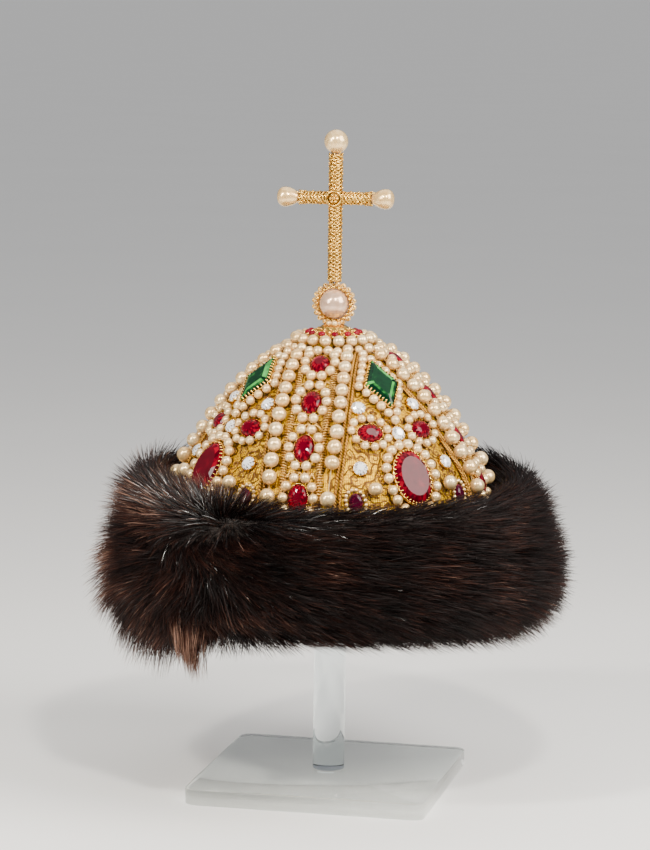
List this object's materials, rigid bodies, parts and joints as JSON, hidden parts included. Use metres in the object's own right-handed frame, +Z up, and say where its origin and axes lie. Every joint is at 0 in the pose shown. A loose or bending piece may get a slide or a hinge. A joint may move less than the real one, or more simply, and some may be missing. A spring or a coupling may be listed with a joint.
{
  "type": "costume crown on acrylic display stand",
  "caption": "Domed cloth cap with a deep fur brim, sewn pearls and cut stones, topped by an orb pearl and a cross, on a clear acrylic stand.",
  "frame": {"origin": "centre of the stand's foot, on the surface that it stands on", "axes": "+Z up along the rod and the cross; -Y is the front, where the narrow panel between the two braids faces; +X is the viewer's right"},
  "size_m": [0.2944, 0.2953, 0.4113],
  "materials": {
    "cloth_of_gold": "metallic brocade",
    "gold_braid": "metallic braid",
    "gilt_metal": "gilt filigree",
    "pearl": "pearl lustre",
    "orb_pearl": "peach pearl lustre",
    "red_stone": "faceted",
    "green_stone": "step cut",
    "dark_fur": "long fur",
    "clear_acrylic": "clear, polished"
  },
  "bodies": {
    "root": {"stand_base": "clear_acrylic", "stand_post": "clear_acrylic", "cap_shell": "cloth_of_gold", "rib_braids": "gold_braid", "fur_brim": "dark_fur", "pearl_string_front_l": "pearl", "pearl_string_front_r": "pearl", "pearl_rings_front": "pearl", "pearl_string_right_l": "pearl", "pearl_string_right_r": "pearl", "pearl_rings_right": "pearl", "pearl_string_back_l": "pearl", "pearl_string_back_r": "pearl", "pearl_rings_back": "pearl", "pearl_string_left_l": "pearl", "pearl_string_left_r": "pearl", "pearl_rings_left": "pearl", "pearl_work_front_right": "pearl", "pearl_work_back_right": "pearl", "pearl_work_back_left": "pearl", "pearl_work_front_left": "pearl", "pearl_ring_top": "pearl", "stone_oval_front_1": "red_stone", "stone_oval_front_2": "red_stone", "stone_oval_front_3": "red_stone", "stone_oval_front_4": "red_stone", "stone_oval_right_1": "red_stone", "stone_oval_right_2": "red_stone", "stone_oval_right_3": "red_stone", "stone_oval_right_4": "red_stone", "stone_oval_back_1": "red_stone", "stone_oval_back_2": "red_stone", "stone_oval_back_3": "red_stone", "stone_oval_back_4": "red_stone", "stone_oval_left_1": "red_stone", "stone_oval_left_2": "red_stone", "stone_oval_left_3": "red_stone", "stone_oval_left_4": "red_stone", "stone_rhombus_front_right": "green_stone", "stone_large_front_right": "red_stone", "stone_side_front_right_l": "red_stone", "stone_side_front_right_r": "red_stone", "stone_rhombus_back_right": "green_stone", "stone_large_back_right": "red_stone", "stone_side_back_right_l": "red_stone", "stone_side_back_right_r": "red_stone", "stone_rhombus_back_left": "green_stone", "stone_large_back_left": "red_stone", "stone_side_back_left_l": "red_stone", "stone_side_back_left_r": "red_stone", "stone_rhombus_front_left": "green_stone", "stone_large_front_left": "red_stone", "stone_side_front_left_l": "red_stone", "stone_side_front_left_r": "red_stone", "finial_collar": "gilt_metal", "finial_orb_pearl": "orb_pearl", "cross_body": "gilt_metal", "cross_pearl_top": "pearl", "cross_pearl_left": "pearl", "cross_pearl_right": "pearl"}
  },
  "joints": []
}
